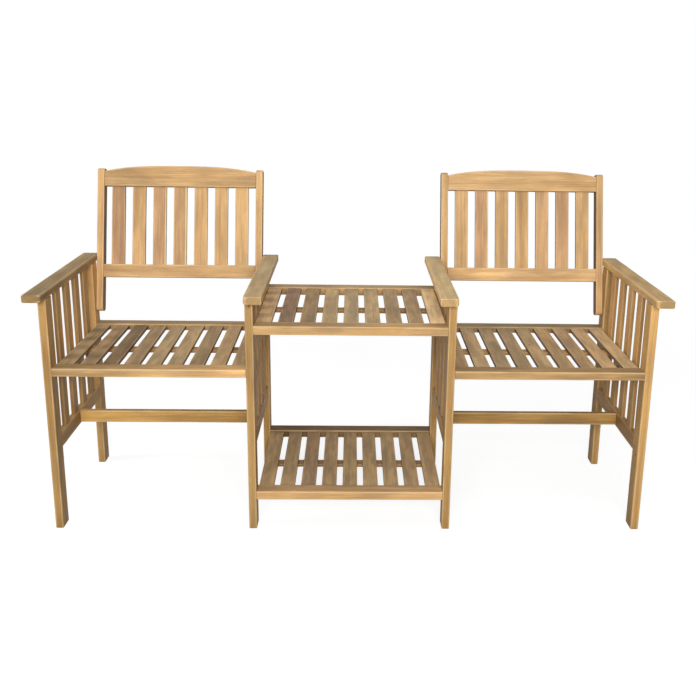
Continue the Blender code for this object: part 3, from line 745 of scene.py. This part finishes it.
class BENCH_OT_materials(BenchOperator, bpy.types.Operator):
    """Make the oiled wood and steel materials and the collection of the bench"""
    bl_idname = "bench.materials"
    bl_label = "Materials"

    def execute(self, context):
        finish = context.scene.bench_finish
        context.scene.collection.children.link(bpy.data.collections.new("Bench"))
        make_grain_group()
        make_wear_group()
        make_dust_group()
        make_weather_group()
        # The last value, where given, is how much painted shade darkens a wood's faces in the gaps between boards
        make_wood("Leg wood", finish.leg_tint, 0.08, 0.15)
        make_wood("Armrest wood", finish.arm_tint, 0.45, 0.35, ring_scale=1.2)
        make_wood("Side wood", finish.side_tint, 0.10, 0.20, gap_shade_share=(0.10, 0.35))
        make_wood("Rail wood", finish.rail_tint, 0.10, 0.30)
        # The rear rails' wood: rail wood with more weathering and with painted shade on its faces in the gaps between
        # the slats
        make_wood("Rear rail wood with painted shade", finish.rail_tint, 0.35, 0.30, gap_shade_share=(0.0, 0.25))
        make_wood("Stretcher wood", finish.stretcher_tint, 0.06, 0.20)
        make_wood("Slat wood", finish.slat_tint, 0.35, 0.48, gap_shade_share=(0.80, 0.60))
        make_wood("Back wood", finish.back_tint, 0.05, 0.22, gap_shade_share=(0.90, 0.0))
        make_steel("Bolt steel")
        return {"FINISHED"}


class BENCH_OT_legs(BenchOperator, bpy.types.Operator):
    """Build the eight legs, rounded at the foot"""
    bl_idname = "bench.legs"
    bl_label = "Legs"

    def execute(self, context):
        finish = context.scene.bench_finish
        for place in PLACES:
            for end in ("front", "rear"):
                node = f"leg_{end}_{place}"
                low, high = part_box(node)
                add_board(
                    node, low, (high.x, high.y, below_armrest(place)), 2, "Leg wood", "leg_wood",
                    ends=(finish.free_radius, finish.joint_radius),
                )
        return {"FINISHED"}


class BENCH_OT_armrests(BenchOperator, bpy.types.Operator):
    """Build the four armrests with rounded corners on the seat side"""
    bl_idname = "bench.armrests"
    bl_label = "Armrests"

    def execute(self, context):
        finish = context.scene.bench_finish
        for place in PLACES:
            node = f"armrest_{place}"
            add_board(
                node, *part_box(node), 1, "Armrest wood", "armrest_wood",
                radius=finish.arm_radius, ends=(finish.free_radius,) * 2,
                corner=finish.arm_corner, corner_sides=(0, 1) if leg_x(place)[1] > 0 else (1, 0),
            )
        return {"FINISHED"}


class BENCH_OT_sides(BenchOperator, bpy.types.Operator):
    """Build the lower side rails and the slats of the side frames"""
    bl_idname = "bench.sides"
    bl_label = "Side rails and slats"

    def execute(self, context):
        sizes, finish = context.scene.bench_sizes, context.scene.bench_finish
        for place in PLACES:
            node = f"side_panel_{place}"
            low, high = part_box(node)
            y_low, y_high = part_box(f"leg_front_{place}")[1].y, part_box(f"leg_rear_{place}")[0].y
            rail_top = low.z + sizes.side_rail_height
            add_board(
                f"side_rail_{place}", (low.x, y_low + sizes.gap, low.z),
                (high.x, y_high - sizes.gap, rail_top), 1, "Side wood", "side_wood", node,
            )
            face, toward = leg_x(place)
            x = sorted(face - toward * (sizes.side_slat_inset + depth) for depth in (0, sizes.slat_thickness))
            starts = open_row(y_low, y_high, sizes.side_slat_width, sizes.side_slat_count)
            for number, y in enumerate(starts, start=1):
                add_board(
                    f"side_slat_{place}_{number}", (x[0], y, rail_top),
                    (x[1], y + sizes.side_slat_width, below_armrest(place)),
                    2, "Side wood", "side_wood", node, radius=finish.slat_radius,
                )
        return {"FINISHED"}


class BENCH_OT_rails(BenchOperator, bpy.types.Operator):
    """Build the stretchers and the flat rails of the seats, table top and shelf"""
    bl_idname = "bench.rails"
    bl_label = "Rails and stretchers"

    def execute(self, context):
        sizes = context.scene.bench_sizes
        nodes = {f"{level}_front_rail": (sizes.rail_tenon, "Rail wood") for level in LEVELS}
        # The rear rails of the seats and table take the rail wood with painted shade; the shelf's rear rail keeps plain
        # rail wood
        nodes |= {f"{level}_rear_rail": (sizes.rail_tenon, "Rear rail wood with painted shade") for level in LEVELS}
        nodes["shelf_rear_rail"] = (sizes.rail_tenon, "Rail wood")
        nodes |= {f"{side}_stretcher": (sizes.stretcher_tenon, "Stretcher wood") for side in ("left", "right")}
        for node, (tenon, material) in nodes.items():
            low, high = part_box(node)
            inset = Vector((tenon, 0, 0))
            add_board(node, low + inset, high - inset, 0, material, "rail_wood")
        return {"FINISHED"}


class BENCH_OT_slats(BenchOperator, bpy.types.Operator):
    """Build the slats of the seats, table top and shelf, and the battens below them"""
    bl_idname = "bench.slats"
    bl_label = "Slats and battens"

    def execute(self, context):
        sizes, finish = context.scene.bench_sizes, context.scene.bench_finish
        for level in LEVELS:
            node = f"{level}_slats"
            low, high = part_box(node)
            y_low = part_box(f"{level}_front_rail")[1].y + sizes.gap
            y_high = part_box(f"{level}_rear_rail")[0].y - sizes.gap
            underside = high.z - sizes.slat_thickness
            for number, x in enumerate(slat_starts(level), start=1):
                add_board(
                    f"{level}_slat_{number}", (x, y_low, underside), (x + sizes.slat_width, y_high, high.z),
                    1, "Slat wood", "slat_wood", node, radius=finish.slat_radius,
                )
            y = legs_front() + sizes.batten_front
            add_board(
                f"{level}_batten", (low.x + sizes.batten_inset, y, low.z),
                (high.x - sizes.batten_inset, y + sizes.batten_width, underside),
                0, "Side wood", "slat_wood", node, radius=finish.joint_radius,
            )
        return {"FINISHED"}


class BENCH_OT_backs(BenchOperator, bpy.types.Operator):
    """Build the leaning backs: posts, arched top rails, bottom rails and slats"""
    bl_idname = "bench.backs"
    bl_label = "Backs"

    def execute(self, context):
        sizes, finish = context.scene.bench_sizes, context.scene.bench_finish
        place = back_place()
        gap, width = sizes.gap, sizes.post_width
        fall = sizes.top_rail_middle_height - sizes.top_rail_end_height
        deep = gap + sizes.back_rail_thickness
        bottom_top = sizes.bottom_rail_rise + sizes.bottom_rail_height
        for side, names in (("left", ("outer", "inner")), ("right", ("inner", "outer"))):
            start, end = (leg_x(f"{name}_{side}")[0] for name in names)
            for name, x in zip(names, (start + gap, end - gap - width)):
                add_board(
                    f"{side}_back_post_{name}", (x, 0, 0), (x + width, sizes.post_depth, sizes.post_length),
                    2, "Back wood", "back_wood", ends=(finish.free_radius,) * 2,
                    corner=finish.post_corner, place=place,
                )
            inner = (start + width + gap, end - width - gap)
            low, high = inner[0] + gap, inner[1] - gap
            add_board(
                f"{side}_back_bottom_rail", (low, gap, sizes.bottom_rail_rise), (high, deep, bottom_top),
                0, "Back wood", "back_wood", place=place,
            )
            add_board(
                f"{side}_back_top_rail", (low, gap, sizes.top_rail_rise),
                (high, deep, sizes.top_rail_rise + sizes.top_rail_middle_height),
                0, "Back wood", "back_wood", place=place,
                arch=lambda share: sizes.top_rail_middle_height - fall * np.abs(share) ** 3,
            )
            y = gap + (sizes.back_rail_thickness - sizes.slat_thickness) / 2
            for number, x in enumerate(open_row(*inner, sizes.back_slat_width, sizes.back_slat_count), start=1):
                add_board(
                    f"{side}_back_slat_{number}", (x, y, bottom_top + gap),
                    (x + sizes.back_slat_width, y + sizes.slat_thickness, sizes.top_rail_rise - gap),
                    2, "Back wood", "back_wood", radius=finish.slat_radius, place=place,
                )
        return {"FINISHED"}


class BENCH_OT_bolts(BenchOperator, bpy.types.Operator):
    """Build the eight socket bolts of the backs, and the plugs over those in the armrests"""
    bl_idname = "bench.bolts"
    bl_label = "Bolts and plugs"

    def execute(self, context):
        sizes = context.scene.bench_sizes
        shank, head_height, chamfer = sizes.bolt_radius, sizes.bolt_head_height, 0.0006
        for place in PLACES:
            outward = -leg_x(place)[1]
            for kind in ("leg", "arm"):
                node = f"{kind}_post_bolt_{place}"
                low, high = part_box(node)
                middle = (low + high) / 2
                head = low.x if outward < 0 else high.x
                length = high.x - low.x - head_height
                below = (
                    (CENTRE, -length, 0), (shank - chamfer, -length, 0),
                    (shank, -length + chamfer, 0), (shank, 0, 0),
                )
                add_turned(
                    f"{node}_turned", head_profile((high.y - low.y) / 2, head_height, *POST_BOLT_SOCKET, below),
                    [(head - outward * head_height, middle.y, middle.z)], (outward, 0, 0), nodes=(node,),
                )
            # The plug covers the armrest's bolt, the last of the two
            low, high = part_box(f"armrest_{place}")
            edge = low.x if outward < 0 else high.x
            add_turned(
                f"arm_plug_{place}", PLUG, [(edge, middle.y, middle.z)], (outward, 0, 0),
                "Armrest wood",
            )
        return {"FINISHED"}


class BENCH_OT_fittings(BenchOperator, bpy.types.Operator):
    """Build the bolt heads of the outer frames, their barrel nuts and the screws of the battens"""
    bl_idname = "bench.fittings"
    bl_label = "Fittings"

    def execute(self, context):
        sizes = context.scene.bench_sizes
        bolt = head_profile(*RAIL_BOLT, RAIL_BOLT_SHANK)
        screw = head_profile(*SCREW, SCREW_SHANK)
        down = (0, 0, -1)
        for side, way, outer in (("left", -1, 0), ("right", 1, 1)):
            rails = [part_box(f"{side}_seat_{end}_rail") for end in ("front", "rear")]
            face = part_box(f"leg_front_outer_{side}")[outer].x
            middles = [(low + high) / 2 for low, high in rails]
            add_turned(f"{side}_rail_bolts", bolt, [(face, middle.y, middle.z) for middle in middles], (way, 0, 0))
            inner = leg_x(f"outer_{side}")[0] - way * sizes.nut_inset
            nuts = [(inner, (low.y + high.y) / 2, low.z) for low, high in rails]
            add_turned(f"{side}_barrel_nuts", BARREL_NUT, nuts, down)
            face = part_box(f"side_panel_outer_{side}")[outer].x
            middle = sum(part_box(f"{side}_stretcher"), Vector()) / 2
            add_turned(f"{side}_stretcher_bolt", bolt, [(face, middle.y, middle.z)], (way, 0, 0))
        y = legs_front() + sizes.batten_front + sizes.batten_width / 2
        for level in LEVELS:
            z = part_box(f"{level}_slats")[0].z
            places = [(x + sizes.slat_width / 2, y, z) for x in slat_starts(level)]
            add_turned(f"{level}_screws", screw, places, down)
        return {"FINISHED"}


class BENCH_OT_stage(BenchOperator, bpy.types.Operator):
    """Set up the white studio: floor, lamps, room and camera"""
    bl_idname = "bench.stage"
    bl_label = "Studio"

    def execute(self, context):
        scene, studio = context.scene, context.scene.bench_studio
        self.add_floor(scene, studio)

        world = bpy.data.worlds.new("White room")
        scene.world = world
        world.use_nodes = True
        tree = world.node_tree
        back = tree.nodes["Background"]
        back.inputs["Color"].default_value = (1, 1, 1, 1)
        tree.links.new(between(tree, seen_directly(tree), 0.0, 1.0, studio.ambient, 1.0), back.inputs["Strength"])

        self.add_lamps(scene, studio)
        self.add_camera(scene, studio)
        scene.view_settings.view_transform = "Standard"
        return {"FINISHED"}

    def add_floor(self, scene, studio):
        """A round floor that the camera sees white, but for its share of shadow near the bench."""
        around = np.linspace(0, 2 * np.pi, FLOOR_STEPS, endpoint=False)
        ring = np.stack((np.cos(around), np.sin(around), np.zeros(FLOOR_STEPS)), axis=1)
        radii = (0.01, 1.5, 4.0, 9.0)
        points = np.concatenate([ring * radius for radius in radii])
        quads, cap, _ = grid_faces(len(radii), FLOOR_STEPS)
        mesh = new_mesh("Studio floor", points, quads[:, ::-1], (cap[::-1],))
        floor = bpy.data.objects.new("Studio floor", mesh)
        scene.collection.objects.link(floor)
        material, tree, shader = new_shader("White floor")
        tree.nodes.remove(shader)
        mesh.materials.append(material)
        place = add_node(tree, "TexCoord").outputs["Object"]
        spread = add_node(tree, "VectorMath", place, operation="LENGTH").outputs["Value"]
        share = between(tree, spread, 1.0, 2.6, studio.floor_share, 0.0)
        lit = add_node(tree, "BsdfDiffuse", (*[studio.floor_lift] * 3, 1)).outputs[0]
        glow = add_node(tree, "Emission", (1, 1, 1, 1), 1.0).outputs[0]
        seen = add_node(tree, "MixShader", share, glow, lit).outputs[0]
        thrown = add_node(tree, "BsdfDiffuse", (*[studio.bounce] * 3, 1)).outputs[0]
        final = add_node(tree, "MixShader", seen_directly(tree), thrown, seen).outputs[0]
        tree.links.new(final, tree.nodes["Material Output"].inputs["Surface"])

    def add_lamps(self, scene, studio):
        """Four lamps that look at the bench. The one behind makes no reflections."""
        target = Vector((0, 0, 0.45))
        for name, power, size, place, glossy in (
            ("Front lamp", studio.key, (2.6, 1.6), (-0.1, -4.4, 1.8), True),
            ("Left lamp", studio.left, (1.1, 1.1), (-3.4, -0.4, 2.3), True),
            ("Top lamp", studio.top, (2.4, 1.6), (0.6, -0.6, 3.0), True),
            ("Rear lamp", studio.rear, (2.6, 0.9), (0.4, 4.5, 0.6), False),
        ):
            lamp = bpy.data.lights.new(name, "AREA")
            lamp.shape = "RECTANGLE"
            lamp.size, lamp.size_y = size
            lamp.energy = power
            item = bpy.data.objects.new(name, lamp)
            item.location = place
            item.rotation_euler = (target - Vector(place)).to_track_quat("-Z", "Y").to_euler()
            item.visible_glossy = glossy
            scene.collection.objects.link(item)

    def add_camera(self, scene, studio):
        """A camera turned by yaw and pitch, then rolled about the way that it looks."""
        camera = bpy.data.cameras.new("Camera")
        camera.sensor_width = SENSOR
        camera.lens = studio.lens * SENSOR
        camera.shift_x, camera.shift_y = studio.shift
        item = bpy.data.objects.new("Camera", camera)
        item.matrix_world = (
            Matrix.Translation(studio.place) @ Matrix.Rotation(-studio.yaw, 4, "Z")
            @ Matrix.Rotation(math.pi / 2 - studio.pitch, 4, "X") @ Matrix.Rotation(studio.roll, 4, "Z")
        )
        scene.collection.objects.link(item)
        scene.camera = item


STEPS = (
    BENCH_OT_materials, BENCH_OT_legs, BENCH_OT_armrests, BENCH_OT_sides, BENCH_OT_rails,
    BENCH_OT_slats, BENCH_OT_backs, BENCH_OT_bolts, BENCH_OT_fittings, BENCH_OT_stage,
)


class BENCH_PT_panel(bpy.types.Panel):
    """Lists the bench's steps and settings"""
    bl_idname = "BENCH_PT_panel"
    bl_label = "Garden bench"
    bl_space_type = "VIEW_3D"
    bl_region_type = "UI"
    bl_category = "Bench"

    def draw(self, context):
        for step in STEPS:
            self.layout.operator(step.bl_idname)
        for group in (context.scene.bench_sizes, context.scene.bench_finish, context.scene.bench_studio):
            box = self.layout.box()
            for key in group.__annotations__:
                box.prop(group, key)


CLASSES = (BenchSizes, BenchFinish, BenchStudio, *STEPS, BENCH_PT_panel)


def register():
    for item in CLASSES:
        bpy.utils.register_class(item)
    bpy.types.Scene.bench_sizes = PointerProperty(type=BenchSizes)
    bpy.types.Scene.bench_finish = PointerProperty(type=BenchFinish)
    bpy.types.Scene.bench_studio = PointerProperty(type=BenchStudio)


def unregister():
    del bpy.types.Scene.bench_studio
    del bpy.types.Scene.bench_finish
    del bpy.types.Scene.bench_sizes
    for item in reversed(CLASSES):
        bpy.utils.unregister_class(item)


def main():
    """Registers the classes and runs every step."""
    register()
    for step in STEPS:
        group, name = step.bl_idname.split(".")
        getattr(getattr(bpy.ops, group), name)()


if __name__ == "__main__":
    main()
